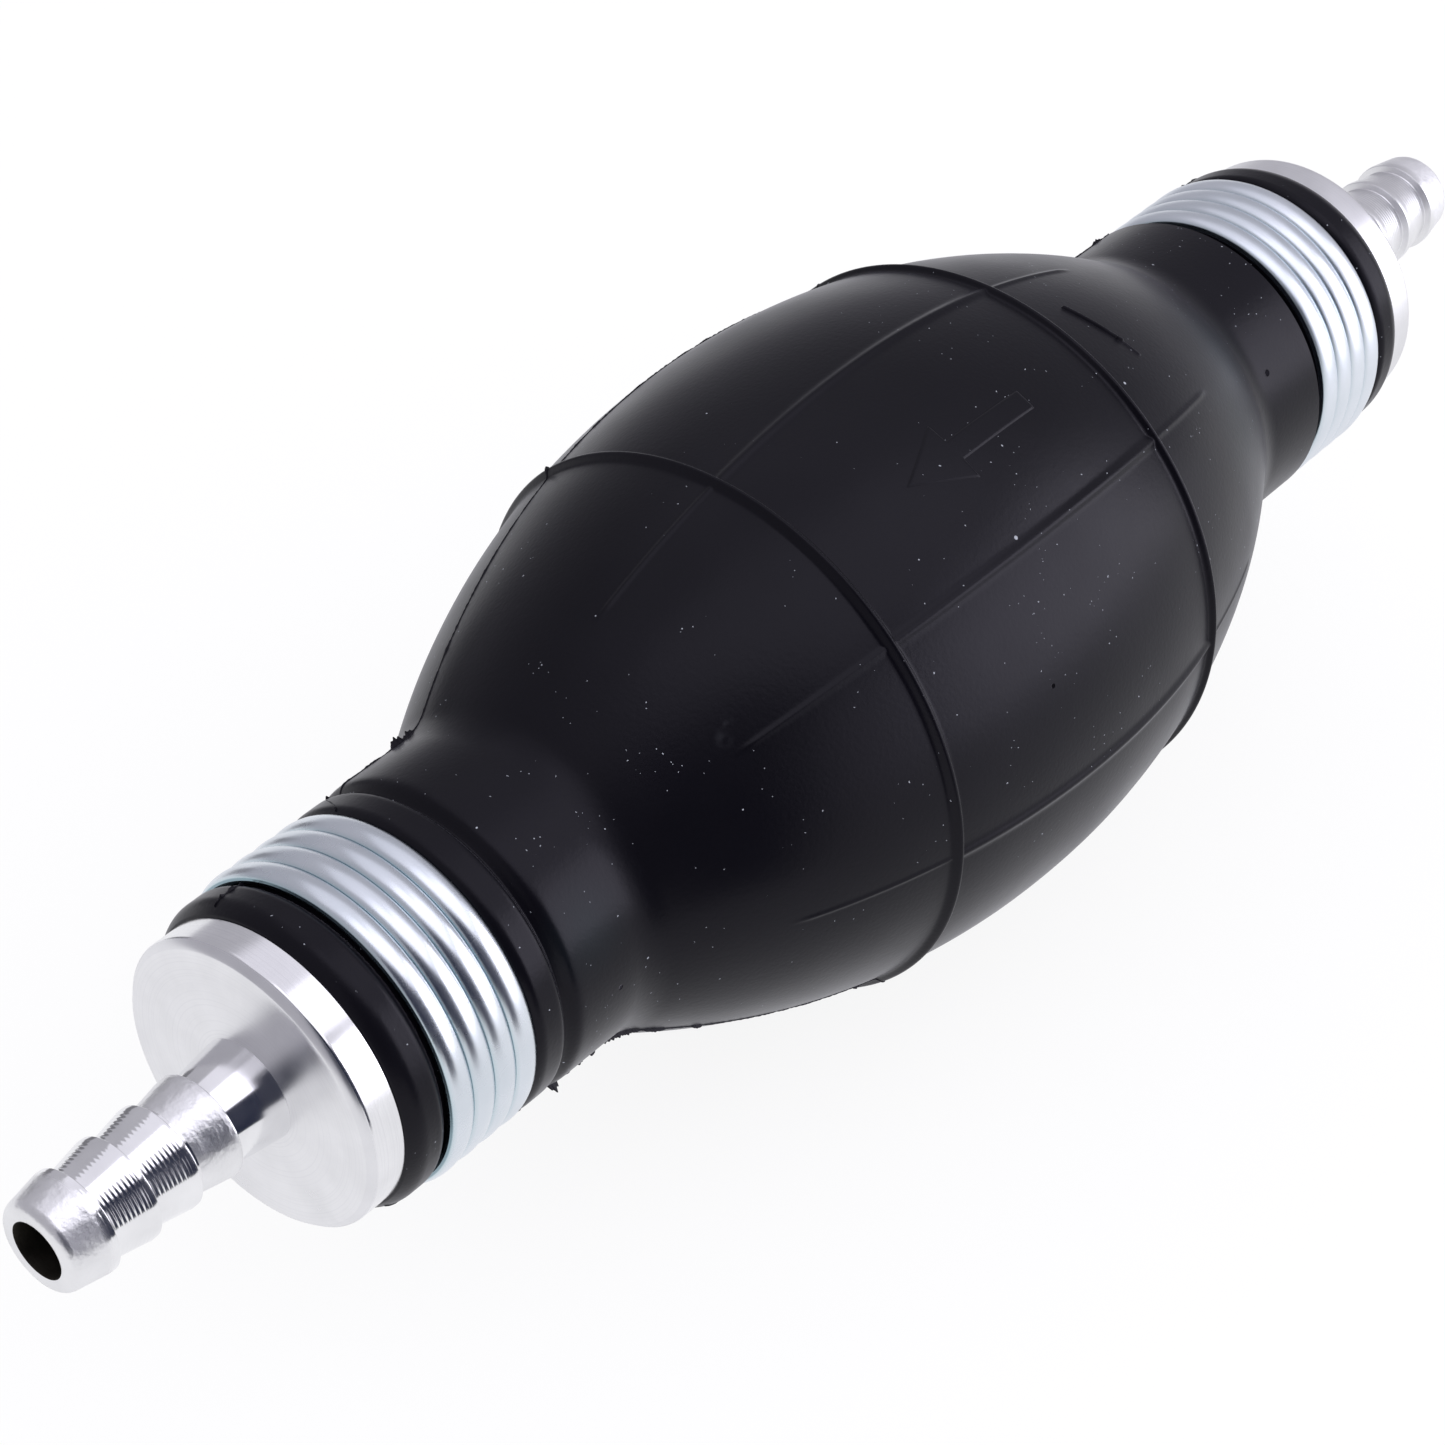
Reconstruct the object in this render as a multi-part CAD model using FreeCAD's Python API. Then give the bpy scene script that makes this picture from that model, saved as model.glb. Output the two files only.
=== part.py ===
import FreeCAD, Part
import math
import os

Vector = FreeCAD.Vector

# Frame: X along the pump's axis with +X the way the liquid flows, Z up, origin on the axis
# midway between the tips of the two barbs. All sizes are in millimetres. The two fittings,
# ferrules and valves are alike, so their profiles are written for the outlet, at their distance
# from the belly's centre. The inlet's are mirrored and pushed further on to the bulb's neck.

# Rubber bulb, outside
BELLY_RADIUS = 26.38
BELLY_ARC = 74.8
NECK_RADIUS = 13.88
NECK_FILLET = 6.0
WALL = 3.0
RING_STATION = 17.4
RING_BEAD = 0.65
RIB_COUNT = 8
RIB_HALF_LENGTH = 32.0
RIB_HEIGHT = 0.4
RIB_WIDTH = 0.8
GROOVE_STATION = 50.7
GROOVE_DEPTH = 0.55
GROOVE_HALF_WIDTH = 0.6
BAND_RADIUS = 13.75
BAND_ROUND = 1.3
BAND_DROP = 0.65
FERRULE_SEAT_RADIUS = 12.95
LIP_RADIUS = 13.4

# The inlet's ferrule and fitting sit nearer the belly than the outlet's, up to the neck's groove
INLET_SHORTER = 2.6
BELLY_CENTRE = -0.5 * INLET_SHORTER

# Moulded arrow between the rings
ARROW_ANGLE = 65.0
ARROW_TIP = 7.6
ARROW_HEAD_BACK = 1.6
ARROW_TAIL = -7.8
ARROW_HEAD_HALF_WIDTH = 2.9
ARROW_SHAFT_HALF_WIDTH = 1.0
ARROW_HEIGHT = 0.3

# Pressed part of the bulb's wall, one patch on each side
PATCH_HALF_LENGTH = 15.0
PATCH_HALF_HEIGHT = 15.5
PATCH_GAP = 0.3

# Crimped ferrule
FERRULE_START = 54.1
FERRULE_PITCH = 2.25
FERRULE_CRESTS = 4
FERRULE_CREST_RADIUS = 13.8
FERRULE_VALLEY_RADIUS = 13.45
FERRULE_SHEET = 0.45

# Fitting: hose barb, flange and the tail that the bulb's neck is clamped on
TIP = 91.0
BORE_RADIUS = 2.375
TIP_FACE_RADIUS = 3.5
BARB_COUNT = 4
FIRST_CREST = 87.1
BARB_PITCH = 3.97
CREST_RADIUS = 4.35
CREST_LAND = 0.5
BARB_ROOT_RADIUS = 3.75
FLANGE_FACE = 70.5
FLANGE_BACK = 67.1
FLANGE_RADIUS = 12.5
FLANGE_CHAMFER = 0.6
TAIL_END = 46.0
TAIL_RADIUS = 9.3
TAIL_RIDGE = 0.5
TAIL_RIDGE_LENGTH = 2.6
TAIL_RIDGE_PITCH = 5.2
TAIL_RIDGE_COUNT = 3
TAIL_GAP = 0.05

# Valve chamber in the tail
CHAMBER_RADIUS = 7.5
CHAMBER_BOTTOM = 65.5
CHAMBER_SHOULDER_RADIUS = 6.2
CHAMBER_CONE_END = 68.2
CIRCLIP_FACE = 49.2
CIRCLIP_THICKNESS = 0.95
CIRCLIP_OUTER = 8.05
CIRCLIP_INNER = 6.7
CIRCLIP_GROOVE_RADIUS = 8.1
CIRCLIP_OPENING = 44.0
CIRCLIP_LUG_RADIUS = 1.25
CIRCLIP_LUG_HOLE = 0.5

# Valve, measured along the flow from the front face of its seat ring
INSERT_RADIUS = 7.45
SEAT_LENGTH = 3.0
SEAT_HOLE = 3.5
SEAT_BEAD_INNER = 4.15
SEAT_BEAD_OUTER = 4.95
SEAT_BEAD_HEIGHT = 0.4
ORING_GROOVE_START = 0.8
ORING_GROOVE_END = 2.2
ORING_GROOVE_RADIUS = 6.5
ORING_SECTION = 0.46
SEAL_THICKNESS = 1.0
SEAL_INNER = 2.65
SEAL_OUTER = 5.4
NOSE_RADIUS = 2.6
NOSE_LENGTH = 1.6
HEAD_RADIUS = 5.6
HEAD_THICKNESS = 1.6
BOSS_RADIUS = 2.4
BOSS_LENGTH = 0.8
STEM_RADIUS = 1.5
STEM_END = 14.8
GUIDE_START = 13.3
GUIDE_END = 16.3
GUIDE_HUB_RADIUS = 3.5
GUIDE_BORE = 1.55
GUIDE_RIM_INNER = 6.4
GUIDE_SPOKES = 3
GUIDE_SPOKE_WIDTH = 1.4
SPRING_RADIUS = 3.0
SPRING_WIRE = 0.5
SPRING_TURNS = 5

FLOW = Vector(1, 0, 0)
CENTRE = Vector(0, 0, 0)

os.makedirs("parts", exist_ok=True)


def at(station, radius):
    return Vector(station, 0, radius)


def outline(points):
    return Part.makePolygon(points + [points[0]]).Edges


def turned(edges):
    face = Part.Face(Part.Wire(Part.__sortEdges__(edges)))
    return face.revolve(CENTRE, FLOW, 360)


def turned_points(points):
    return turned(outline([at(station, radius) for station, radius in points]))


def arc(a, b, c):
    return Part.Arc(at(*a), at(*b), at(*c)).toShape()


def chain(points):
    return [Part.makeLine(at(*a), at(*b)) for a, b in zip(points, points[1:])]


def mirrored(shape):
    return shape.mirror(CENTRE, FLOW)


def moved(shape, station):
    copy = shape.copy()
    copy.translate(Vector(station, 0, 0))
    return copy


def at_inlet(shape):
    return moved(mirrored(shape), INLET_SHORTER)


def save(shape, node):
    # Everything is made about the belly's centre, and moved into the frame here
    solids = shape.Solids
    if len(solids) != 1 or not shape.isValid():
        raise ValueError(node + " is not one valid solid: " + str(len(solids)))
    moved(solids[0], BELLY_CENTRE).exportStep("parts/" + node + ".step")


def belly(station, offset=0.0):
    # Radius of the belly's arc, moved outwards by the offset, at a station
    radius = BELLY_ARC + offset
    return BELLY_RADIUS - BELLY_ARC + math.sqrt(radius * radius - station * station)


def tail_outline(gap):
    # Ridged outside of the tail from its flange to its end; the bulb's neck follows it
    points = [(FLANGE_BACK, TAIL_RADIUS + gap)]
    for number in range(TAIL_RIDGE_COUNT):
        crest = FLANGE_BACK - 2.5 - number * TAIL_RIDGE_PITCH
        points.append((crest + 0.1 + gap, TAIL_RADIUS + gap))
        points.append((crest, TAIL_RADIUS + TAIL_RIDGE + gap))
        points.append((crest - TAIL_RIDGE_LENGTH, TAIL_RADIUS + gap))
    return points


def bulb_half(shorter):
    # One end of the bulb, from the centre plane out to the flange
    arc_centre = BELLY_RADIUS - BELLY_ARC
    fillet_height = NECK_RADIUS + NECK_FILLET
    reach = BELLY_ARC + NECK_FILLET
    fillet_station = math.sqrt(reach ** 2 - (fillet_height - arc_centre) ** 2)
    share = BELLY_ARC / reach
    meet = (fillet_station * share, arc_centre + (fillet_height - arc_centre) * share)
    slope = math.atan2(fillet_height - meet[1], fillet_station - meet[0])
    half_turn = 0.5 * (slope + math.pi / 2)
    fillet_mid = (
        fillet_station - NECK_FILLET * math.cos(half_turn),
        fillet_height - NECK_FILLET * math.sin(half_turn),
    )
    neck_start = (fillet_station, NECK_RADIUS)
    groove_in = (GROOVE_STATION - GROOVE_HALF_WIDTH, NECK_RADIUS)
    groove_bottom = (GROOVE_STATION, NECK_RADIUS - GROOVE_DEPTH)
    groove_out = (GROOVE_STATION + GROOVE_HALF_WIDTH, BAND_RADIUS)
    band_end = FERRULE_START - shorter - 0.05
    band_corner = (band_end - BAND_ROUND, BAND_RADIUS)
    band_foot = (band_end, BAND_RADIUS - BAND_DROP)
    seat_end = FERRULE_START - shorter + FERRULE_CRESTS * FERRULE_PITCH + 0.15
    flange = FLANGE_BACK - shorter
    lip_top = 0.5 * (seat_end + flange) - 0.3
    edges = [
        arc((0, BELLY_RADIUS), (0.5 * meet[0], belly(0.5 * meet[0])), meet),
        arc(meet, fillet_mid, neck_start),
    ]
    edges += chain([neck_start, groove_in, groove_bottom])
    if band_corner[0] > groove_out[0]:
        edges += chain([groove_bottom, groove_out, band_corner])
        edges.append(arc(band_corner, (band_end - 0.45 * BAND_ROUND, BAND_RADIUS - 0.25 * BAND_DROP),
                         band_foot))
    else:
        edges += chain([groove_bottom, band_foot])
    edges += chain([band_foot, (band_end, FERRULE_SEAT_RADIUS), (seat_end, FERRULE_SEAT_RADIUS)])
    edges.append(arc((seat_end, FERRULE_SEAT_RADIUS), (lip_top, LIP_RADIUS),
                     (flange, FLANGE_RADIUS - 0.1)))
    bore = [(station - shorter, radius) for station, radius in tail_outline(TAIL_GAP)]
    edges += chain([(flange, FLANGE_RADIUS - 0.1)] + bore)
    inner_arc = BELLY_ARC - WALL
    bore_radius = TAIL_RADIUS + TAIL_GAP
    bore_end = math.sqrt(inner_arc ** 2 - (bore_radius - arc_centre) ** 2)
    edges += chain([bore[-1], (bore_end, bore_radius)])
    edges.append(arc((bore_end, bore_radius), (0.5 * bore_end, belly(0.5 * bore_end, -WALL)),
                     (0, BELLY_RADIUS - WALL)))
    edges += chain([(0, BELLY_RADIUS - WALL), (0, BELLY_RADIUS)])
    return turned(edges)


def rib(angle):
    # Low straight rib along the belly, as moulded
    low = -1.0
    ends = [
        (-RIB_HALF_LENGTH, belly(RIB_HALF_LENGTH, low)),
        (-RIB_HALF_LENGTH + 2.0, belly(RIB_HALF_LENGTH - 2.0, RIB_HEIGHT)),
        (RIB_HALF_LENGTH - 2.0, belly(RIB_HALF_LENGTH - 2.0, RIB_HEIGHT)),
        (RIB_HALF_LENGTH, belly(RIB_HALF_LENGTH, low)),
    ]
    edges = chain(ends[0:2]) + chain(ends[2:4])
    edges.append(arc(ends[1], (0, belly(0, RIB_HEIGHT)), ends[2]))
    edges.append(arc(ends[3], (0, belly(0, low)), ends[0]))
    face = Part.Face(Part.Wire(Part.__sortEdges__(edges)))
    face.translate(Vector(0, -0.5 * RIB_WIDTH, 0))
    bar = face.extrude(Vector(0, RIB_WIDTH, 0))
    bar.rotate(CENTRE, FLOW, angle)
    return bar


def arrow():
    # Low block arrow that points to the outlet
    half = [
        (ARROW_TIP, 0),
        (ARROW_HEAD_BACK, ARROW_HEAD_HALF_WIDTH),
        (ARROW_HEAD_BACK, ARROW_SHAFT_HALF_WIDTH),
        (ARROW_TAIL, ARROW_SHAFT_HALF_WIDTH),
    ]
    around = half + [(station, -width) for station, width in reversed(half[1:])]
    base = BELLY_RADIUS - 3.0
    points = [Vector(station, width, base) for station, width in around]
    prism = Part.Face(Part.makePolygon(points + [points[0]])).extrude(Vector(0, 0, 5))
    prism.rotate(CENTRE, FLOW, ARROW_ANGLE - 90.0)
    reach = 10.0
    edges = [arc((-reach, belly(reach, ARROW_HEIGHT)), (0, belly(0, ARROW_HEIGHT)),
                 (reach, belly(reach, ARROW_HEIGHT)))]
    edges += chain([(reach, belly(reach, ARROW_HEIGHT)), (reach, belly(reach, -1.0))])
    edges.append(arc((reach, belly(reach, -1.0)), (0, belly(0, -1.0)),
                     (-reach, belly(reach, -1.0))))
    edges += chain([(-reach, belly(reach, -1.0)), (-reach, belly(reach, ARROW_HEIGHT))])
    return prism.common(turned(edges))


def patch_prism(side, gap):
    # Elliptic cutter along Y for the pressed patch on one side
    ellipse = Part.Ellipse(CENTRE, PATCH_HALF_HEIGHT - gap, PATCH_HALF_LENGTH - gap)
    disc = Part.Face(Part.Wire(ellipse.toShape()))
    disc.rotate(CENTRE, Vector(0, 0, 1), 90)
    disc.rotate(CENTRE, FLOW, 90)
    disc.translate(Vector(0, side * 8.0, 0))
    return disc.extrude(Vector(0, side * 24.0, 0))


def bulb():
    shell = bulb_half(0).fuse(mirrored(bulb_half(INLET_SHORTER)))
    extras = []
    for side in (-1, 1):
        extras.append(Part.makeTorus(belly(RING_STATION), RING_BEAD,
                                     Vector(side * RING_STATION, 0, 0), FLOW))
    for number in range(RIB_COUNT):
        extras.append(rib(number * 360.0 / RIB_COUNT))
    extras.append(arrow())
    return shell.multiFuse(extras).removeSplitter()


def ferrule():
    # Thin rolled sheet: rounded crests that meet in sharp valleys
    outer = []
    inner = []
    for number in range(FERRULE_CRESTS):
        start = FERRULE_START + number * FERRULE_PITCH
        stations = (start, start + 0.5 * FERRULE_PITCH, start + FERRULE_PITCH)
        radii = (FERRULE_VALLEY_RADIUS, FERRULE_CREST_RADIUS, FERRULE_VALLEY_RADIUS)
        outer.append(arc(*zip(stations, radii)))
        inner.append(arc(*zip(stations, [radius - FERRULE_SHEET for radius in radii])))
    end = FERRULE_START + FERRULE_CRESTS * FERRULE_PITCH
    low = FERRULE_VALLEY_RADIUS - FERRULE_SHEET
    closing = [
        Part.makeLine(at(FERRULE_START, low), at(FERRULE_START, FERRULE_VALLEY_RADIUS)),
        Part.makeLine(at(end, low), at(end, FERRULE_VALLEY_RADIUS)),
    ]
    return turned(outer + inner + closing)


def fitting():
    # Barb from the tip inwards, flange, ridged tail, valve chamber and bore
    points = [(TIP, BORE_RADIUS + 0.25), (TIP, TIP_FACE_RADIUS), (TIP - 0.45, 3.95)]
    for number in range(BARB_COUNT):
        crest = FIRST_CREST - number * BARB_PITCH
        points.append((crest + CREST_LAND, CREST_RADIUS))
        points.append((crest, CREST_RADIUS))
        points.append((crest - 0.15, BARB_ROOT_RADIUS))
    points += [
        (FLANGE_FACE + 0.4, BARB_ROOT_RADIUS),
        (FLANGE_FACE, BARB_ROOT_RADIUS + 0.4),
        (FLANGE_FACE, FLANGE_RADIUS - FLANGE_CHAMFER),
        (FLANGE_FACE - FLANGE_CHAMFER, FLANGE_RADIUS),
        (FLANGE_BACK, FLANGE_RADIUS),
    ]
    points += tail_outline(0.0)
    groove_open = CIRCLIP_FACE - CIRCLIP_THICKNESS - 0.05
    points += [
        (TAIL_END + 0.6, TAIL_RADIUS),
        (TAIL_END, TAIL_RADIUS - 0.5),
        (TAIL_END, CHAMBER_RADIUS + 0.4),
        (TAIL_END + 0.4, CHAMBER_RADIUS),
        (groove_open, CHAMBER_RADIUS),
        (groove_open, CIRCLIP_GROOVE_RADIUS),
        (CIRCLIP_FACE, CIRCLIP_GROOVE_RADIUS),
        (CIRCLIP_FACE, CHAMBER_RADIUS),
        (CHAMBER_BOTTOM, CHAMBER_RADIUS),
        (CHAMBER_BOTTOM, CHAMBER_SHOULDER_RADIUS),
        (CHAMBER_CONE_END, BORE_RADIUS),
        (TIP - 0.25, BORE_RADIUS),
    ]
    return turned_points(points)


def seat_ring():
    bead_top = SEAT_LENGTH + SEAT_BEAD_HEIGHT
    return turned_points([
        (0, SEAT_HOLE + 0.4),
        (0, INSERT_RADIUS - 0.2),
        (0.2, INSERT_RADIUS),
        (ORING_GROOVE_START, INSERT_RADIUS),
        (ORING_GROOVE_START, ORING_GROOVE_RADIUS),
        (ORING_GROOVE_END, ORING_GROOVE_RADIUS),
        (ORING_GROOVE_END, INSERT_RADIUS),
        (SEAT_LENGTH - 0.2, INSERT_RADIUS),
        (SEAT_LENGTH, INSERT_RADIUS - 0.2),
        (SEAT_LENGTH, SEAT_BEAD_OUTER + 0.2),
        (bead_top, SEAT_BEAD_OUTER - 0.1),
        (bead_top, SEAT_BEAD_INNER + 0.1),
        (SEAT_LENGTH, SEAT_BEAD_INNER - 0.2),
        (SEAT_LENGTH, SEAT_HOLE + 0.2),
        (SEAT_LENGTH - 0.2, SEAT_HOLE),
        (0.4, SEAT_HOLE),
    ])


def seat_oring():
    middle = 0.5 * (ORING_GROOVE_START + ORING_GROOVE_END)
    radius = 0.5 * (ORING_GROOVE_RADIUS + CHAMBER_RADIUS)
    return Part.makeTorus(radius, ORING_SECTION, Vector(middle, 0, 0), FLOW)


def poppet_seal():
    start = SEAT_LENGTH + SEAT_BEAD_HEIGHT
    end = start + SEAL_THICKNESS
    return turned_points([
        (start, SEAL_INNER),
        (start, SEAL_OUTER - 0.15),
        (start + 0.15, SEAL_OUTER),
        (end, SEAL_OUTER),
        (end, SEAL_INNER),
    ])


def poppet():
    front = SEAT_LENGTH + SEAT_BEAD_HEIGHT + SEAL_THICKNESS
    back = front + HEAD_THICKNESS
    nose = SEAT_LENGTH + SEAT_BEAD_HEIGHT - NOSE_LENGTH
    return turned_points([
        (nose, 0),
        (nose, NOSE_RADIUS - 0.8),
        (nose + 0.8, NOSE_RADIUS),
        (front, NOSE_RADIUS),
        (front, HEAD_RADIUS - 0.2),
        (front + 0.2, HEAD_RADIUS),
        (back - 0.3, HEAD_RADIUS),
        (back, HEAD_RADIUS - 0.3),
        (back, BOSS_RADIUS),
        (back + BOSS_LENGTH, BOSS_RADIUS - 0.2),
        (back + BOSS_LENGTH, STEM_RADIUS),
        (STEM_END - 0.4, STEM_RADIUS),
        (STEM_END, STEM_RADIUS - 0.4),
        (STEM_END, 0),
    ])


def guide():
    # Rim and hub joined by spokes; the hub's bore carries the valve's stem
    rim = turned_points([
        (GUIDE_START, GUIDE_RIM_INNER),
        (GUIDE_START, INSERT_RADIUS - 0.2),
        (GUIDE_START + 0.2, INSERT_RADIUS),
        (GUIDE_END - 0.2, INSERT_RADIUS),
        (GUIDE_END, INSERT_RADIUS - 0.2),
        (GUIDE_END, GUIDE_RIM_INNER),
    ])
    hub = turned_points([
        (GUIDE_START, GUIDE_BORE),
        (GUIDE_START, GUIDE_HUB_RADIUS),
        (GUIDE_END - 0.8, GUIDE_HUB_RADIUS),
        (GUIDE_END, GUIDE_HUB_RADIUS - 0.8),
        (GUIDE_END, GUIDE_BORE),
    ])
    spokes = []
    for number in range(GUIDE_SPOKES):
        length = GUIDE_RIM_INNER - GUIDE_HUB_RADIUS + 1.0
        bar = Part.makeBox(GUIDE_END - GUIDE_START - 1.2, GUIDE_SPOKE_WIDTH, length)
        bar.translate(Vector(GUIDE_START + 0.4, -0.5 * GUIDE_SPOKE_WIDTH, GUIDE_HUB_RADIUS - 0.5))
        bar.rotate(CENTRE, FLOW, number * 360.0 / GUIDE_SPOKES)
        spokes.append(bar)
    return rim.multiFuse([hub] + spokes).removeSplitter()


def arc_between(start, corner, end):
    # Arc that leaves start and reaches end tangent to the two equal legs of their corner
    middle = (start + end) * 0.5
    half = 0.5 * (end - start).Length
    leg = (corner - start).Length
    rise = half * math.tan(0.5 * math.acos(half / leg))
    return Part.Arc(start, middle + (corner - middle).normalize() * rise, end).toShape()


def spring():
    # Coil round the stem, drawn as two tangent arcs for each quarter turn
    start = SEAT_LENGTH + SEAT_BEAD_HEIGHT + SEAL_THICKNESS + HEAD_THICKNESS + 0.5 * SPRING_WIRE
    length = GUIDE_START - 0.5 * SPRING_WIRE - start
    steps = 4 * SPRING_TURNS
    climb = length / (2 * math.pi * SPRING_TURNS)
    points = []
    ways = []
    for step in range(steps + 1):
        turn = 0.5 * math.pi * step
        points.append(Vector(start + climb * turn, SPRING_RADIUS * math.cos(turn),
                             SPRING_RADIUS * math.sin(turn)))
        ways.append(Vector(climb, -SPRING_RADIUS * math.sin(turn),
                           SPRING_RADIUS * math.cos(turn)).normalize())
    edges = []
    for a, b, way_a, way_b in zip(points, points[1:], ways, ways[1:]):
        gap = b - a
        square = 2 * (1 - way_a.dot(way_b))
        linear = gap.dot(way_a + way_b)
        leg = (math.sqrt(linear ** 2 + square * gap.dot(gap)) - linear) / square
        near = a + way_a * leg
        far = b - way_b * leg
        joint = (near + far) * 0.5
        edges += [arc_between(a, near, joint), arc_between(joint, far, b)]
    section = Part.Wire(Part.makeCircle(0.5 * SPRING_WIRE, points[0], ways[0]))
    return Part.Wire(edges).makePipeShell([section], True, False)


def circlip():
    # Spring ring with two lugs, its outer face at the front of the valve's stack
    start = CIRCLIP_FACE - CIRCLIP_THICKNESS
    ring = turned_points([
        (start, CIRCLIP_INNER),
        (start, CIRCLIP_OUTER),
        (CIRCLIP_FACE, CIRCLIP_OUTER),
        (CIRCLIP_FACE, CIRCLIP_INNER),
    ])
    half = math.radians(0.5 * CIRCLIP_OPENING)
    reach = 12.0
    wedge_points = [
        Vector(start - 1.0, 0, 0),
        Vector(start - 1.0, -reach * math.sin(half), reach * math.cos(half)),
        Vector(start - 1.0, reach * math.sin(half), reach * math.cos(half)),
    ]
    wedge = Part.Face(Part.makePolygon(wedge_points + [wedge_points[0]]))
    ring = ring.cut(wedge.extrude(Vector(3.0, 0, 0)))
    lugs = []
    holes = []
    for side in (-1, 1):
        turn = side * (half + CIRCLIP_LUG_RADIUS / CIRCLIP_INNER)
        radius = CIRCLIP_INNER - 0.35
        spot = Vector(start, radius * math.sin(turn), radius * math.cos(turn))
        lugs.append(Part.makeCylinder(CIRCLIP_LUG_RADIUS, CIRCLIP_THICKNESS, spot, FLOW))
        spot_hole = Vector(start - 0.5, spot.y, spot.z)
        holes.append(Part.makeCylinder(CIRCLIP_LUG_HOLE, CIRCLIP_THICKNESS + 1.0, spot_hole, FLOW))
    return ring.multiFuse(lugs).removeSplitter().cut(holes[0]).cut(holes[1])


whole_bulb = bulb()
body = whole_bulb
for side, name in ((1, "left"), (-1, "right")):
    body = body.cut(patch_prism(side, 0.0))
    save(whole_bulb.common(patch_prism(side, PATCH_GAP)), "bulb_wall_" + name)
save(body, "bulb")

outer_pieces = {"fitting": fitting(), "ferrule": ferrule(), "circlip": circlip()}
for name, shape in outer_pieces.items():
    save(shape, "outlet_" + name)
    save(at_inlet(shape), "inlet_" + name)

valve_pieces = {
    "seat_ring": seat_ring(),
    "seat_oring": seat_oring(),
    "poppet": poppet(),
    "poppet_seal": poppet_seal(),
    "valve_spring": spring(),
    "valve_guide": guide(),
}
for name, shape in valve_pieces.items():
    save(moved(shape, CIRCLIP_FACE), "outlet_" + name)
    save(moved(shape, INLET_SHORTER - CHAMBER_BOTTOM), "inlet_" + name)
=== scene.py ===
import math

import bpy
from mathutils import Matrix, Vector, noise

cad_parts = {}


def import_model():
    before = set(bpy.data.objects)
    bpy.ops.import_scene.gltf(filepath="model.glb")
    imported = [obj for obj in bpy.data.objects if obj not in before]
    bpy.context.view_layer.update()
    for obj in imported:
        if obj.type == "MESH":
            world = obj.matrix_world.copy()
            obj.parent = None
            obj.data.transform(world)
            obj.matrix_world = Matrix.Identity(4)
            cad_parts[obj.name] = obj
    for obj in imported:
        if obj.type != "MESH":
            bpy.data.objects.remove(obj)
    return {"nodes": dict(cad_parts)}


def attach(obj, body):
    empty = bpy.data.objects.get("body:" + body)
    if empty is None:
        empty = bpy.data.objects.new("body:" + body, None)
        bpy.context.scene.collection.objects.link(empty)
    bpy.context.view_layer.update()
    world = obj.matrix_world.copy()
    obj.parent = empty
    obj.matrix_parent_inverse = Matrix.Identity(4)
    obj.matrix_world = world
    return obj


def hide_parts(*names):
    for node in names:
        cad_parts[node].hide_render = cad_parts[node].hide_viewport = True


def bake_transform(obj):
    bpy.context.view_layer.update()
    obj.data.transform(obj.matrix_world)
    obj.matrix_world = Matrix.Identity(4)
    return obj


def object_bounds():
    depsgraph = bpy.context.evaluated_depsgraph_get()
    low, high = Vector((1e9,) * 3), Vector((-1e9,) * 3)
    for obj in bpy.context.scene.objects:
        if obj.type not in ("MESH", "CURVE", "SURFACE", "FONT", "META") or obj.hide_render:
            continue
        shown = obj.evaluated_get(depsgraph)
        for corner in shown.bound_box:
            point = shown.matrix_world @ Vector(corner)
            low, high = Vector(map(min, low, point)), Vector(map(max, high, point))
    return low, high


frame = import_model()
CAD_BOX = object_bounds()

# Lengths are in millimetres, and stations are measured from the belly's centre, up to the last
# step of each mesh, which puts them in the frame and turns them into metres. Angles about the
# pump's axis run from +Y towards +Z. The fitting and the ferrule are written for the outlet;
# the inlet's are mirrored and pushed further on to the bulb's neck.
MM = 0.001
BELLY_CENTRE = -1.3
INLET_SHORTER = 2.6

# Bulb
BELLY_RADIUS = 26.38
BELLY_ARC = 74.8
NECK_RADIUS = 13.88
NECK_FILLET = 6.0
WALL = 3.0
GROOVE_STATION = 50.7
GROOVE_DEPTH = 0.72
GROOVE_HALF_WIDTH = 0.72
GROOVE_STEEP_WIDTH = 0.45
INLET_GAP_START = 50.15
INLET_GAP_DEPTH = 1.5
BAND_RADIUS = 13.75
BAND_END = 54.05
BAND_ROUND = 0.9
BAND_DROP = 0.4
BAND_POWER = 2.2
SEAT_RADIUS = 12.95
SEAT_END = 63.25
LIP_RADIUS = 13.38
LIP_GAP_DEPTH = 0.85
LIP_GAP_SHARE = 0.3
LIP_DROP = 0.75
LIP_DROP_SHARE = 0.6
RING_STATION = 17.4
RING_HEIGHT = 0.55
RING_NEAR_WIDTH = 0.4
RING_FAR_WIDTH = 0.34
RING_POWER = 2.4
RIB_ANGLES = (0, 45, 90, 180, 225, 270)
RIB_HEIGHT = 0.24
RIB_HALF_WIDTH = 0.42
RIB_OUTER_SHARE = 0.58
RIB_OUTER_SHARE_LOWEST = 0.42
RIB_END_OUTLET = 31.8
RIB_END_INLET = -29.5
RIB_FADE = 2
RIB_REACH_DEGREES = 6
BORE_RADIUS_BULB = 9.35
WAVE_HEIGHT = 0.03

# Distances between the mesh's lines along the bulb and, in degrees, round it
BELLY_STEP = 0.4
RING_STEP = 0.1
SLOPE_STEP = 0.35
GROOVE_STEP = 0.08
LIP_STEP = 0.12
INSIDE_STEP = 2.0
FLASH_STEP = 0.07
TURN_STEP = 1.6
RIB_TURN_STEP = 0.3
RIB_TURN_REACH = 2.7

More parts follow.
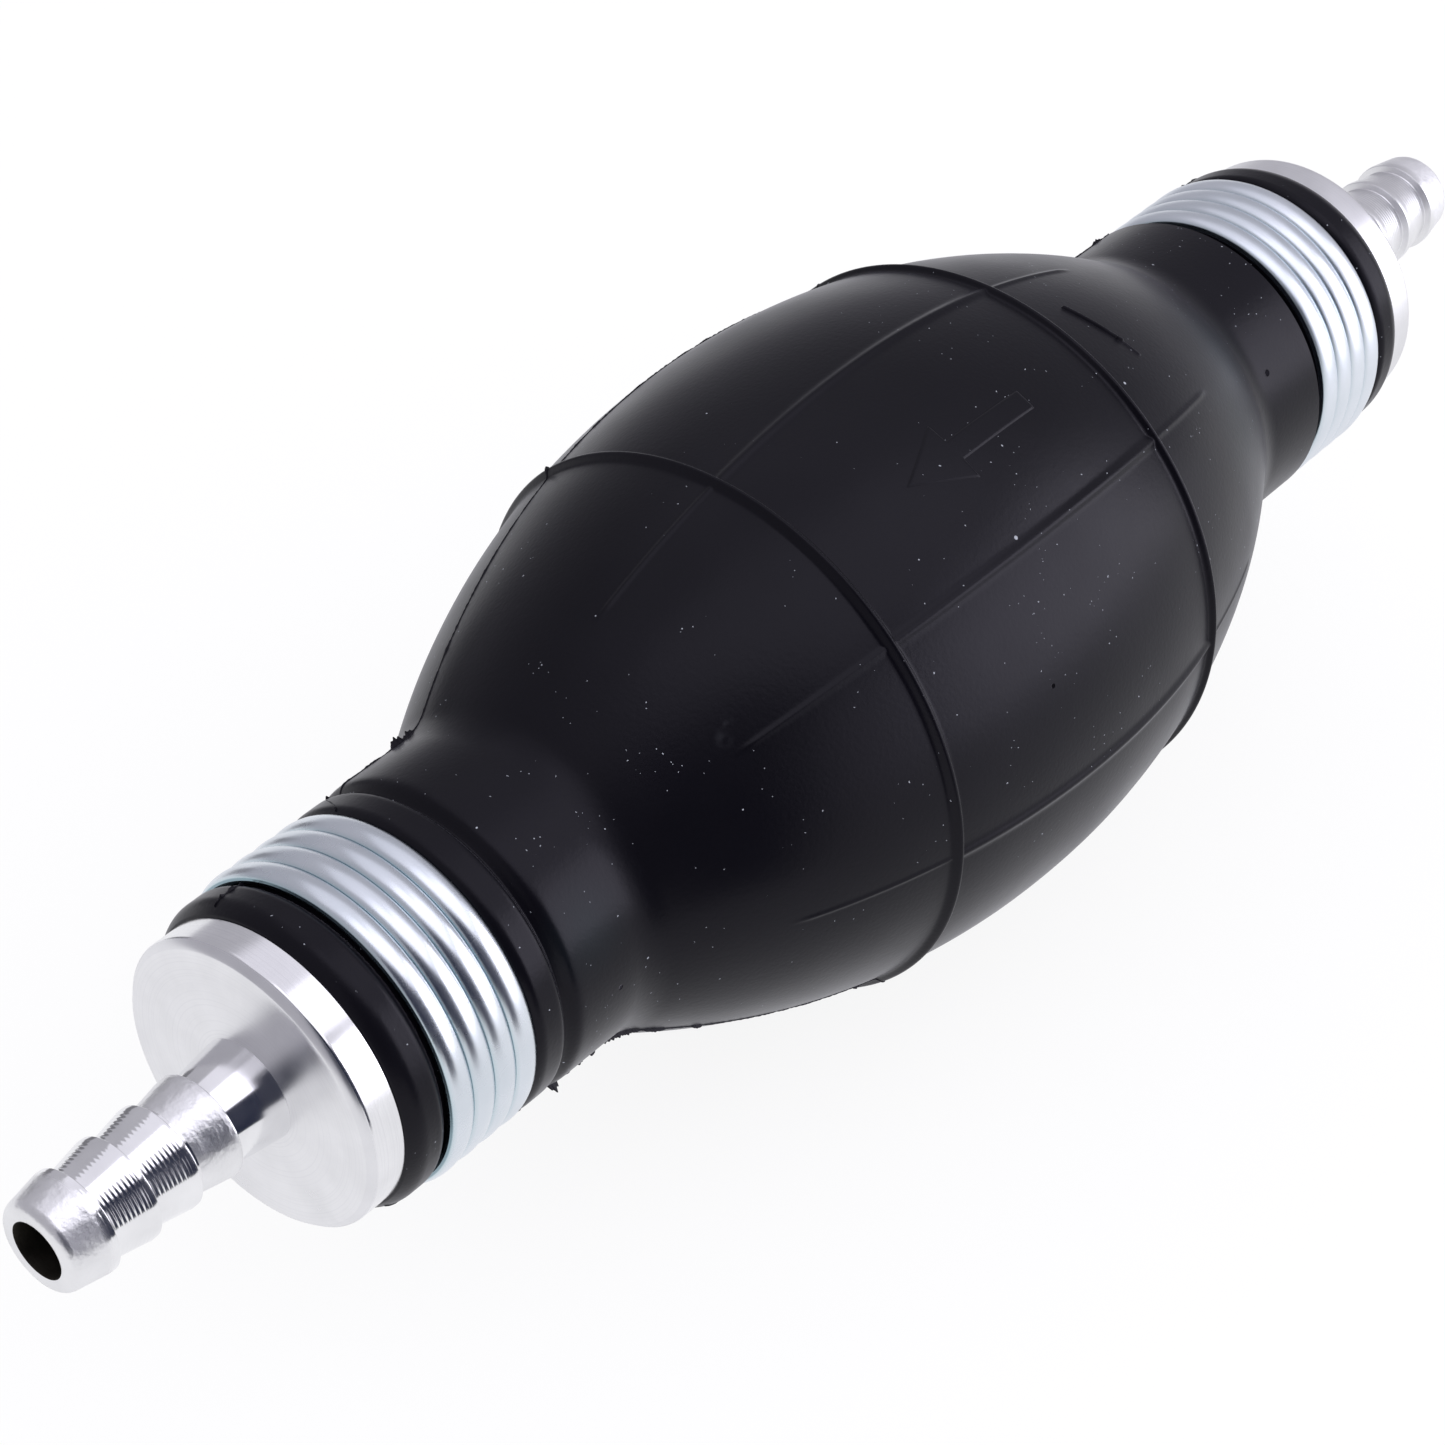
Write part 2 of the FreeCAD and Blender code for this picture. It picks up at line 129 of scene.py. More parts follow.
# Flash along the two parting seams, by their angles: station, height and half length of each
# torn tab
FLASH_TABS = {
    135: ((51.25, 0.35, 0.28), (43.5, 0.75, 0.75), (42.3, 0.5, 0.6), (63.7, 0.38, 0.3),
          (64.7, 0.3, 0.35), (65.7, 0.22, 0.4), (17.5, 0.3, 0.6), (-16.2, 0.35, 0.7),
          (-48.2, 0.35, 0.7), (-61.4, 0.35, 0.5)),
    315: ((48.9, 0.95, 0.5), (52.6, 0.3, 0.3), (47.2, 0.35, 0.5), (45.8, 0.4, 0.45),
          (44.4, 0.5, 0.5), (41.5, 0.5, 2.2), (38.6, 0.35, 1.2), (35.0, 0.35, 0.5),
          (20.0, 0.3, 0.4), (16.5, 0.35, 0.9), (-17.0, 0.25, 0.5), (-33.0, 0.2, 0.8)),
}

# Moulded arrow
ARROW_ANGLE = 65.0
ARROW_TIP = 7.6
ARROW_BACK = 1.7
ARROW_TAIL = -7.8
ARROW_HEAD_HALF = 2.9
ARROW_SHAFT_HALF = 1.0
ARROW_HEIGHT = 0.1
ARROW_BURIED = 0.12

# Fine raised line beside the inlet's ring, as left by a mark in the mould: ends and height
MARK_ANGLE = 69.0
MARK_LINES = (((-21.35, 3.95), (-22.7, -0.5), 0.27), ((-22.6, -0.3), (-23.15, -1.7), 0.24),
              ((-23.1, -1.8), (-23.7, -4.0), 0.13), ((-22.95, -1.5), (-23.2, -1.9), 0.33))
MARK_HALF_WIDTH = 0.24
MARK_BURIED = 0.1
PATCH_DEPTH = 0.5

# Marks on the skin: station, angle and radius of small pits, painted dark inside as shade, and
# chips, and station, angle and the two radii between which worn, lighter teal and dusty zones fade
# out
PITS = ((-43.75, 32.1, 0.24), (5.65, 21.5, 0.16), (45.2, 0.0, 0.16))
CHIPS = ((2.65, 46.9, 0.14), (-18.9, 57.0, 0.1))
WORN = ((31.6, 49.5, 0.1, 0.9), (30.8, 52.0, 0.05, 0.7))
TEAL_PATCHES = ((47.0, 26.5, 0.5, 4.5), (-33.5, 25.0, 1.0, 8.0), (-37.6, 50.0, 0.5, 6.0))
DUSTY = ((1.0, 62.0, 3.0, 12.0), (9.0, 30.0, 2.0, 8.0))

# Ferrule
FERRULE_START = 54.1
FERRULE_PITCH = 2.25
FERRULE_CRESTS = 4
FERRULE_CREST_RADIUS = 13.8
FERRULE_VALLEY_RADIUS = 13.32
FERRULE_SHEET = 0.42
FERRULE_STEPS = 20
FERRULE_POWER = 1.2

# Fitting
TIP = 91.0
BORE_RADIUS = 2.375
FIRST_CREST = 87.1
BARB_PITCH = 3.97
BARB_COUNT = 4
CREST_RADIUS = 4.35
CREST_LAND = 0.5
ROOT_RADIUS = 3.75
ROOT_FLARE = 0.6
FLANGE_FACE = 70.5
FLANGE_BACK = 67.1
FLANGE_RADIUS = 12.5
FLANGE_CHAMFER = 0.6
TAIL_RADIUS = 9.3
TAIL_END = 46.0
CHAMBER_RADIUS = 7.5
CHAMBER_BOTTOM = 65.5
SHOULDER_RADIUS = 6.2
CONE_END = 68.2
CIRCLIP_FACE = 49.2
CIRCLIP_THICKNESS = 0.95
CIRCLIP_GROOVE_RADIUS = 8.1

# Marks of the turning tool on the barb's cones, with each cone's share of their depth from the tip
TOOL_MARK_PITCH = 0.36
TOOL_MARK_DEPTH = 0.0085
TOOL_MARK_SHARES = (0.0, 1.0, 1.0, 0.15)

# Zones of the fittings' metal, in the frame: the tip's cone, the last cone and the bore's inside,
# which is painted as shade
TIP_CONE_START = 86.2
TIP_CONE_FULL = 86.8
LAST_CONE_MIDDLE = 75.7
LAST_CONE_HALF = 1.7
BORE_SHADE_ZONE = 2.46

OUTLET = 1
INLET = -1


# Shapes

def smooth(low, high, value):
    share = min(1.0, max(0.0, (value - low) / (high - low)))
    return share * share * (3 - 2 * share)


def belly(station):
    return BELLY_RADIUS - BELLY_ARC + math.sqrt(BELLY_ARC ** 2 - station ** 2)


def spread(start, end, step):
    count = max(1, math.ceil(abs(end - start) / step))
    return [start + (end - start) * number / count for number in range(count)]


def skin_radius(station):
    # Radius of the bulb's outside at a station, without its relief
    u = abs(station)
    shorter = INLET_SHORTER if station < 0 else 0.0
    height = NECK_RADIUS + NECK_FILLET
    centre = BELLY_RADIUS - BELLY_ARC
    reach = BELLY_ARC + NECK_FILLET
    fillet = math.sqrt(reach ** 2 - (height - centre) ** 2)
    if u < fillet * BELLY_ARC / reach:
        return belly(u)
    if u < fillet:
        return height - math.sqrt(NECK_FILLET ** 2 - (fillet - u) ** 2)
    if u < BAND_END - shorter + 0.01:
        past = u - GROOVE_STATION
        if shorter:
            return NECK_RADIUS - INLET_GAP_DEPTH * smooth(-0.08, 0.08, u - INLET_GAP_START)
        dip = math.exp(-(past / (GROOVE_STEEP_WIDTH if past > 0 else GROOVE_HALF_WIDTH)) ** 2)
        step = (NECK_RADIUS - BAND_RADIUS) * smooth(-0.2, 0.2, past)
        rounding = max(0.0, 1 - (BAND_END - u) / BAND_ROUND) ** BAND_POWER
        return NECK_RADIUS - GROOVE_DEPTH * dip - step - BAND_DROP * rounding
    share = (u - SEAT_END + shorter) / (FLANGE_BACK - SEAT_END)
    gap = LIP_GAP_DEPTH * max(0.0, 1 - share / LIP_GAP_SHARE) ** 2
    drop = LIP_DROP * max(0.0, (share - LIP_DROP_SHARE) / (1 - LIP_DROP_SHARE)) ** 2
    return LIP_RADIUS - gap - drop


def skin_stations(side):
    # Distances from the centre along one end, closer together where the relief is fine
    ring = RING_STATION
    groove = GROOVE_STATION
    band_end = BAND_END - (INLET_SHORTER if side == INLET else 0.0)
    stations = spread(0, ring - 2, BELLY_STEP) + spread(ring - 2, ring + 2, RING_STEP)
    stations += spread(ring + 2, groove - 2.2, SLOPE_STEP)
    stations += spread(groove - 2.2, band_end, GROOVE_STEP)
    return stations + [band_end]


def near(angle, other):
    return abs((angle - other + 180) % 360 - 180)


def ring_relief(station):
    away = station - math.copysign(RING_STATION, station)
    width = RING_NEAR_WIDTH if away > 0 else RING_FAR_WIDTH
    return RING_HEIGHT * math.exp(-(abs(away) / width) ** RING_POWER)


def rib_relief(station, angle, radius):
    away = min(near(angle, rib) for rib in RIB_ANGLES)
    if away > RIB_REACH_DEGREES:
        return 0.0
    lowest = near(angle, 0) < RIB_REACH_DEGREES
    outer = RIB_OUTER_SHARE_LOWEST if lowest else RIB_OUTER_SHARE
    share = 1.0 if abs(station) < RING_STATION else outer
    across = math.radians(away) * radius / (share * RIB_HALF_WIDTH)
    ends = smooth(RIB_END_INLET, RIB_END_INLET + RIB_FADE, station)
    ends *= 1 - smooth(RIB_END_OUTLET - RIB_FADE, RIB_END_OUTLET, station)
    return RIB_HEIGHT * share * ends * math.exp(-across ** 2)


def skin_relief(station, angle, radius):
    # Rings, ribs and a very slight waviness that ends before the necks' grooves
    wave = noise.noise(Vector((station * 0.11, math.cos(math.radians(angle)) * 2.2,
                               math.sin(math.radians(angle)) * 2.2)))
    relief = max(ring_relief(station), rib_relief(station, angle, radius))
    return relief + WAVE_HEIGHT * wave * (1 - smooth(42, 50, abs(station)))


def flash_height(station, seam):
    # Height of the thin torn edge that the mould left along a parting seam
    height = 0.09 + 0.07 * noise.noise(Vector((station * 0.7, seam, 0)))
    height += 0.05 * noise.noise(Vector((station * 3.1, seam, 5)))
    for middle, tall, half in FLASH_TABS[seam]:
        share = abs(station - middle) / half
        if share < 1:
            torn = 0.8 + 0.5 * noise.noise(Vector((station * 5.0, seam, 9)))
            height = max(height, tall * (1 - share ** 2) ** 0.7 * torn)
    return max(0.03, height)


def seam_turn(station, seam):
    # Angle of the parting line; it strays on the outlet's band
    stray = 18 * smooth(51.2, 54.0, station) if seam == 135 else 0.0
    return math.radians(seam - stray)


def skin_angles(first, last):
    # Columns round one half of the bulb, closer together at the ribs
    angles = set(spread(first, last, TURN_STEP) + [last])
    step = RIB_TURN_STEP
    reach = RIB_TURN_REACH
    for rib in RIB_ANGLES:
        for turn in (-360, 0):
            middle = rib + turn
            if first - 0.01 <= middle <= last + 0.01:
                angles = {a for a in angles if abs(a - middle) > reach + 0.3 or a in (first, last)}
                fine = spread(middle - reach, middle + reach, step) + [middle + reach]
                angles |= {a for a in fine if first <= a <= last}
    return sorted(angles)


def build(name, points, faces, smooth_shading=True, shift=BELLY_CENTRE):
    mesh = bpy.data.meshes.new(name)
    mesh.from_pydata([((x + shift) * MM, y * MM, z * MM) for x, y, z in points], [], faces)
    mesh.polygons.foreach_set("use_smooth", [smooth_shading] * len(mesh.polygons))
    mesh.update()
    piece = bpy.data.objects.new(name, mesh)
    bpy.context.scene.collection.objects.link(piece)
    return piece


def sharpen(piece, degrees):
    # Keeps edges crisp that are steeper than this, and shades the rest smooth
    limit = math.radians(degrees)
    mesh = piece.data
    normals = [polygon.normal.copy() for polygon in mesh.polygons]
    users = {}
    for polygon in mesh.polygons:
        for key in polygon.edge_keys:
            users.setdefault(key, []).append(polygon.index)
    for edge in mesh.edges:
        beside = users.get(edge.key, [])
        if len(beside) == 2:
            edge.use_edge_sharp = normals[beside[0]].angle(normals[beside[1]], 0) > limit


def turned(name, loop, columns=160):
    # Closed loop of (station, radius) turned all the way round the axis
    points = []
    for number in range(columns):
        turn = 2 * math.pi * number / columns
        points += [(x, r * math.cos(turn), r * math.sin(turn)) for x, r in loop]
    size = len(loop)
    faces = []
    for number in range(columns):
        a = number * size
        b = (number + 1) % columns * size
        faces += [(a + i, b + i, b + (i + 1) % size, a + (i + 1) % size) for i in range(size)]
    piece = build(name, points, faces)
    sharpen(piece, 28)
    return piece


def placed(loop, end):
    # Loop of one end at its place, kept in the same turning sense
    if end == OUTLET:
        return list(loop)
    return [(INLET_SHORTER - x, r) for x, r in reversed(loop)]


def tail_points(gap):
    points = [(FLANGE_BACK, TAIL_RADIUS + gap)]
    for number in range(3):
        crest = FLANGE_BACK - 2.5 - number * 5.2
        points.append((crest + 0.1 + gap, TAIL_RADIUS + gap))
        points.append((crest, TAIL_RADIUS + 0.5 + gap))
        points.append((crest - 2.6, TAIL_RADIUS + gap))
    return points


def skin_profile(side):
    # One end of the bulb: outside, seat under the ferrule and lip, then the inside back to the
    # centre. The last entry tells where the moulded relief is added.
    shorter = INLET_SHORTER if side == INLET else 0.0
    shown = [(side * u, skin_radius(side * u), True) for u in skin_stations(side)]
    seat = [(BAND_END - shorter, SEAT_RADIUS), (SEAT_END - shorter, SEAT_RADIUS - 0.5)]
    lip = [(u - shorter, skin_radius(side * (u - shorter)))
           for u in spread(SEAT_END, FLANGE_BACK, LIP_STEP) + [FLANGE_BACK]]
    bore = [(u - shorter, r) for u, r in tail_points(0.05)]
    inner_arc = BELLY_ARC - WALL
    centre = BELLY_RADIUS - BELLY_ARC
    bore_end = math.sqrt(inner_arc ** 2 - (BORE_RADIUS_BULB - centre) ** 2)
    inside = [(u, centre + math.sqrt(inner_arc ** 2 - u ** 2))
              for u in spread(bore_end, 0, INSIDE_STEP)]
    return shown + [(side * u, r, False) for u, r in seat + lip + bore + inside]


def bulb_half(name, first, last):
    # One side of the rubber bulb, closed along the plane through the axis
    loop = skin_profile(OUTLET) + [(0, BELLY_RADIUS - WALL, False)] + skin_profile(INLET)[:0:-1]
    angles = skin_angles(first, last)
    points = []
    for angle in angles:
        turn = math.radians(angle)
        for x, r, lift in loop:
            if lift:
                r += skin_relief(x, angle, r)
            points.append((x, r * math.cos(turn), r * math.sin(turn)))
    size = len(loop)
    faces = []
    for number in range(len(angles) - 1):
        a = number * size
        b = a + size
        faces += [(a + i, b + i, b + (i + 1) % size, a + (i + 1) % size) for i in range(size)]
    end = (len(angles) - 1) * size
    faces.append(tuple(range(size)))
    faces.append(tuple(end + i for i in reversed(range(size))))
    piece = build(name, points, faces)
    sharpen(piece, 50)
    return piece


def flash(name, seam):
    # Thin torn fin along a parting seam, in three runs that leave out the ferrules
    lip = (SEAT_END + 0.3, FLANGE_BACK - 0.5)
    runs = ((-lip[1] + INLET_SHORTER, -lip[0] + INLET_SHORTER),
            (-BAND_END + INLET_SHORTER + 0.2, BAND_END - 0.2), lip)
    points = []
    faces = []
    for low, high in runs:
        stations = spread(low, high, FLASH_STEP) + [high]
        first = len(points)
        for station in stations:
            turn = seam_turn(station, seam)
            base = skin_radius(station) + ring_relief(station)
            tall = base + flash_height(station, seam)
            for r, half in ((base - 0.25, -0.1), (tall, -0.03), (tall, 0.03), (base - 0.25, 0.1)):
                points.append((station, r * math.cos(turn) - half * math.sin(turn),
                               r * math.sin(turn) + half * math.cos(turn)))
        for number in range(len(stations) - 1):
            a = first + 4 * number
            faces += [(a + i, a + (i + 1) % 4, a + 4 + (i + 1) % 4, a + 4 + i) for i in range(4)]
        end = len(points) - 4
        faces += [(first + 3, first + 2, first + 1, first), (end, end + 1, end + 2, end + 3)]
    return build(name, points, faces, False)


def arrow_outline():
    half = [(ARROW_TIP, 0), (ARROW_BACK, ARROW_HEAD_HALF), (ARROW_BACK, ARROW_SHAFT_HALF),
            (ARROW_TAIL, ARROW_SHAFT_HALF)]
    return half + [(x, -w) for x, w in reversed(half[1:])]


def inside_depth(x, w, outline):
    # Distance to the outline, positive inside it
    inside = False
    nearest = 1e9
    for (x1, w1), (x2, w2) in zip(outline, outline[1:] + outline[:1]):
        if (w1 > w) != (w2 > w) and x < (x2 - x1) * (w - w1) / (w2 - w1) + x1:
            inside = not inside
        share = ((x - x1) * (x2 - x1) + (w - w1) * (w2 - w1)) / ((x2 - x1) ** 2 + (w2 - w1) ** 2)
        share = min(1, max(0, share))
        nearest = min(nearest, math.hypot(x - x1 - share * (x2 - x1), w - w1 - share * (w2 - w1)))
    return nearest if inside else -nearest


def relief_patch(name, x_range, w_range, step, middle_angle, height):
    # Thin pad on the belly: height gives how far it stands out at a point, below zero outside
    columns = spread(*x_range, step) + [x_range[1]]
    rows = spread(*w_range, step) + [w_range[1]]
    points = []
    for layer in (0, 1):
        for w in rows:
            turn = math.radians(middle_angle) + w / BELLY_RADIUS
            for x in columns:
                out = height(x, w) if layer == 0 else -PATCH_DEPTH
                r = belly(x) + out
                points.append((x, r * math.cos(turn), r * math.sin(turn)))
    wide = len(columns)
    layer = wide * len(rows)
    faces = []
    for j in range(len(rows) - 1):
        for i in range(wide - 1):
            a = j * wide + i
            faces.append((a, a + 1, a + 1 + wide, a + wide))
            faces.append((layer + a, layer + a + wide, layer + a + 1 + wide, layer + a + 1))
    rim = list(range(wide)) + [j * wide + wide - 1 for j in range(1, len(rows))]
    rim += [layer - 1 - i for i in range(1, wide)]
    rim += [j * wide for j in reversed(range(1, len(rows) - 1))]
    for a, b in zip(rim, rim[1:] + rim[:1]):
        faces.append((a, layer + a, layer + b, b))
    return build(name, points, faces)


def arrow():
    outline = arrow_outline()

    def height(x, w):
        share = smooth(-0.2, 0.14, inside_depth(x, w, outline))
        return (ARROW_HEIGHT + ARROW_BURIED) * share - ARROW_BURIED

    return relief_patch("bulb_arrow", (ARROW_TAIL - 0.5, ARROW_TIP + 0.5), (-3.5, 3.5), 0.13,
                        ARROW_ANGLE, height)


def mould_mark():
    def height(x, w):
        tall = -MARK_BURIED
        for (x1, w1), (x2, w2), line in MARK_LINES:
            share = ((x - x1) * (x2 - x1) + (w - w1) * (w2 - w1))
            share = min(1, max(0, share / ((x2 - x1) ** 2 + (w2 - w1) ** 2)))
            away = math.hypot(x - x1 - share * (x2 - x1), w - w1 - share * (w2 - w1))
            bump = (line + MARK_BURIED) * math.exp(-(away / MARK_HALF_WIDTH) ** 2)
            tall = max(tall, bump - MARK_BURIED)
        return tall

    return relief_patch("bulb_mould_mark", (-24.3, -20.7), (-4.6, 4.5), 0.08, MARK_ANGLE, height)


def ferrule_loop():
    # Thin rolled sheet with rounded crests that meet in sharp valleys
    rise = FERRULE_CREST_RADIUS - FERRULE_VALLEY_RADIUS
    outer = []
    for number in range(FERRULE_CRESTS):
        start = FERRULE_START + number * FERRULE_PITCH
        for step in range(FERRULE_STEPS):
            turn = math.pi * step / FERRULE_STEPS
            share = 0.5 - 0.5 * math.cos(turn)
            bulge = math.sin(turn) ** FERRULE_POWER
            outer.append((start + share * FERRULE_PITCH, FERRULE_VALLEY_RADIUS + rise * bulge))
    end = FERRULE_START + FERRULE_CRESTS * FERRULE_PITCH
    outer.append((end, FERRULE_VALLEY_RADIUS))
    lip = [(end + 0.06, FERRULE_VALLEY_RADIUS - 0.12), (end, FERRULE_VALLEY_RADIUS - FERRULE_SHEET)]
    inner = [(x, r - FERRULE_SHEET) for x, r in reversed(outer[::2])]
    return outer + lip + inner[1:]


def barb_outline():
    # Outside of the barb from the tip to the flange, with the turning tool's marks
    points = [(TIP - 0.22, BORE_RADIUS), (TIP - 0.06, BORE_RADIUS + 0.08),
              (TIP, BORE_RADIUS + 0.25), (TIP, 3.1), (TIP - 0.06, 3.38), (TIP - 0.2, 3.6),
              (TIP - 0.4, 3.76)]
    start = (TIP - 0.65, 3.86)
    for number in range(BARB_COUNT):
        crest = FIRST_CREST - number * BARB_PITCH
        land = crest + CREST_LAND
        for station in spread(start[0], land, TOOL_MARK_PITCH / 8):
            share = (start[0] - station) / (start[0] - land)
            ripple = math.sin(2 * math.pi * station / TOOL_MARK_PITCH)
            ripple *= smooth(0.0, 0.12, share) * (1 - smooth(0.86, 0.98, share))
            radius = start[1] + (CREST_RADIUS - start[1]) * share
            mark = TOOL_MARK_DEPTH * TOOL_MARK_SHARES[number] * (1 + ripple)
            points.append((station, radius - mark))
        points += [(land, CREST_RADIUS), (crest + 0.06, CREST_RADIUS), (crest, CREST_RADIUS - 0.05),
                   (crest - 0.13, ROOT_RADIUS + 0.04)]
        start = (crest - 0.2, ROOT_RADIUS)
    neck = []
    for share in (0.03, 0.5, 0.97, 1):
        station = start[0] + (FLANGE_FACE - start[0]) * share
        neck.append((station, ROOT_RADIUS + ROOT_FLARE * share))
    return points + [start] + neck


def fitting_loop():
    points = barb_outline()
    chamfer = FLANGE_CHAMFER
    points += [(FLANGE_FACE, r) for r in spread(5.0, FLANGE_RADIUS - chamfer, 0.6)]
    points += [
        (FLANGE_FACE, FLANGE_RADIUS - chamfer - 0.1),
        (FLANGE_FACE - 0.05, FLANGE_RADIUS - chamfer + 0.05),
        (FLANGE_FACE - chamfer + 0.05, FLANGE_RADIUS - 0.05),
        (FLANGE_FACE - chamfer - 0.1, FLANGE_RADIUS),
        (FLANGE_FACE - chamfer - 0.25, FLANGE_RADIUS),
        (FLANGE_BACK + 0.1, FLANGE_RADIUS),
        (FLANGE_BACK, FLANGE_RADIUS - 0.1),
    ]
    points += tail_points(0.0)
    groove = CIRCLIP_FACE - CIRCLIP_THICKNESS - 0.05
    points += [
        (TAIL_END + 0.6, TAIL_RADIUS),
        (TAIL_END + 0.15, TAIL_RADIUS - 0.15),
        (TAIL_END, TAIL_RADIUS - 0.5),
        (TAIL_END, CHAMBER_RADIUS + 0.4),
        (TAIL_END + 0.4, CHAMBER_RADIUS),
        (groove, CHAMBER_RADIUS),
        (groove, CIRCLIP_GROOVE_RADIUS),
        (CIRCLIP_FACE, CIRCLIP_GROOVE_RADIUS),
        (CIRCLIP_FACE, CHAMBER_RADIUS),
        (CHAMBER_BOTTOM, CHAMBER_RADIUS),
        (CHAMBER_BOTTOM, SHOULDER_RADIUS),
        (CONE_END, BORE_RADIUS),
        (CONE_END + 8, BORE_RADIUS),
        (CONE_END + 16, BORE_RADIUS),
    ]
    return points


def loose_copy(name, source):
    # Copy of a CAD piece, in a mesh of its own
    mesh = source.data.copy()
    mesh.transform(source.matrix_world)
    piece = bpy.data.objects.new(name, mesh)
    bpy.context.scene.collection.objects.link(piece)
    return piece


# Materials

def node(tree, kind, inputs=None, **settings):
    made = tree.nodes.new("ShaderNode" + kind)
    for key, value in settings.items():
        setattr(made, key, value)
    for key, value in (inputs or {}).items():
        socket = made.inputs[key]
        if isinstance(value, bpy.types.NodeSocket):
            tree.links.new(value, socket)
        else:
            socket.default_value = value
    return made


def blank(name):
    made = bpy.data.materials.new(name)
    made.use_nodes = True
    tree = made.node_tree
    return made, tree, tree.nodes["Principled BSDF"]


def place(tree):
    return node(tree, "TexCoord").outputs["Object"]


def cloud(tree, scale, detail=3.0, vector=None):
    made = node(tree, "TexNoise", {"Vector": vector or place(tree), "Scale": scale,
                                   "Detail": detail})
    return made.outputs["Fac"]


def ramp(tree, value, low, high, to_low, to_high):
    made = node(tree, "MapRange", {"Value": value, "From Min": low, "From Max": high,
                                   "To Min": to_low, "To Max": to_high})
    return made.outputs["Result"]


def maths(tree, operation, *values):
    return node(tree, "Math", dict(enumerate(values)), operation=operation).outputs[0]


def shades(tree, factor, first, second):
    made = node(tree, "Mix", {0: factor, 6: (*first, 1), 7: (*second, 1)}, data_type="RGBA")
    return made.outputs[2]


def overlay(tree, factor, colour, second):
    made = node(tree, "Mix", {0: factor, 6: colour, 7: (*second, 1)}, data_type="RGBA")
    return made.outputs[2]


def finish_bump(tree, principled, height, distance, strength=1.0, under=None):
    bump = node(tree, "Bump", {"Height": height, "Distance": distance, "Strength": strength})
    if under:
        tree.links.new(under.outputs["Normal"], bump.inputs["Normal"])
    tree.links.new(bump.outputs["Normal"], principled.inputs["Normal"])


def specks(tree, vector, scale, size, share, dusty):
    # Small dots, scattered more thickly in some places than in others
    cells = node(tree, "TexVoronoi", {"Vector": vector, "Scale": scale})
    small = maths(tree, "LESS_THAN", cells.outputs["Distance"], size)
    split = node(tree, "SeparateColor", {"Color": cells.outputs["Color"]})
    crowd = ramp(tree, cloud(tree, 60), 0.42, 0.66, 0.1, 1.6)
    clump = ramp(tree, cloud(tree, 240, 1), 0.45, 0.68, 0.2, 2.6)
    crowd = maths(tree, "MULTIPLY", maths(tree, "MULTIPLY_ADD", dusty, 0.9, crowd), clump)
    chosen = maths(tree, "LESS_THAN", split.outputs["Red"], maths(tree, "MULTIPLY", crowd, share))
    return maths(tree, "MULTIPLY", small, chosen)


def spot(tree, station, angle, inner, outer):
    # One round a point of the skin, fading to nothing between the two radii
    turn = math.radians(angle)
    r = skin_radius(station)
    middle = Vector((station + BELLY_CENTRE, r * math.cos(turn), r * math.sin(turn))) * MM
    away = node(tree, "VectorMath", {0: place(tree), 1: middle}, operation="DISTANCE")
    return ramp(tree, away.outputs["Value"], inner * MM, outer * MM, 1, 0)


def most(tree, values):
    total = values[0]
    for value in values[1:]:
        total = maths(tree, "MAXIMUM", total, value)
    return total


def rubber():
    made, tree, principled = blank("bulb_rubber")
    jitter = node(tree, "TexNoise", {"Vector": place(tree), "Scale": 4200, "Detail": 2.0})
    shift = node(tree, "VectorMath", {0: jitter.outputs["Color"], 1: (0.0003, 0.0003, 0.0003)},
                 operation="MULTIPLY")
    ragged = node(tree, "VectorMath", {0: place(tree), 1: shift.outputs[0]},
                  operation="ADD").outputs[0]
    colour = shades(tree, ramp(tree, cloud(tree, 55), 0.35, 0.65, 0, 1),
                    (0.0022, 0.0020, 0.0037), (0.0033, 0.0030, 0.0051))
    # Lighter, bluer patches of colour round the listed zones
    teal_patch = most(tree, [spot(tree, *zone) for zone in TEAL_PATCHES])
    colour = overlay(tree, maths(tree, "MULTIPLY", teal_patch, 0.8), colour, (0.0065, 0.0100, 0.0120))
    worn = most(tree, [spot(tree, *zone) for zone in WORN])
    worn = maths(tree, "MULTIPLY", worn, ramp(tree, cloud(tree, 1500, 4), 0.42, 0.62, 0, 1))
    dusty = most(tree, [spot(tree, *zone) for zone in DUSTY])
    dust = specks(tree, ragged, 1100, 0.068, 0.24, dusty)
    fine = specks(tree, ragged, 2400, 0.1, 0.08, dusty)
    chips = most(tree, [spot(tree, x, angle, size, size + 0.05) for x, angle, size in CHIPS])
    marks = most(tree, [dust, fine, chips, maths(tree, "MULTIPLY", worn, 0.03)])
    pit_dents_and_shade = most(tree, [spot(tree, x, angle, size, size + 0.08) for x, angle, size in PITS])
    colour = overlay(tree, marks, colour, (0.34, 0.36, 0.39))
    # Painted shade: the pits are coloured near black and made metallic so that they reflect nothing
    tree.links.new(overlay(tree, pit_dents_and_shade, colour, (0.0006, 0.0006, 0.0009)),
                   principled.inputs["Base Color"])
    tree.links.new(pit_dents_and_shade, principled.inputs["Metallic"])
    rough = ramp(tree, cloud(tree, 90, 5), 0.3, 0.7, 0.28, 0.37)
    tree.links.new(maths(tree, "MAXIMUM", rough, maths(tree, "MULTIPLY", marks, 0.8)),
                   principled.inputs["Roughness"])
    principled.inputs["Specular IOR Level"].default_value = 0.16
    principled.inputs["Specular Tint"].default_value = (0.92, 0.90, 1.0, 1)
    principled.inputs["Sheen Weight"].default_value = 0.085
    principled.inputs["Sheen Roughness"].default_value = 0.3
    principled.inputs["Sheen Tint"].default_value = (0.88, 0.88, 1.0, 1)
    grain = maths(tree, "MULTIPLY_ADD", marks, 2.0, cloud(tree, 2600, 2))
    grain = maths(tree, "MULTIPLY_ADD", pit_dents_and_shade, -6.0, grain)
    finish_bump(tree, principled, grain, 0.00002, 0.6)
    return made


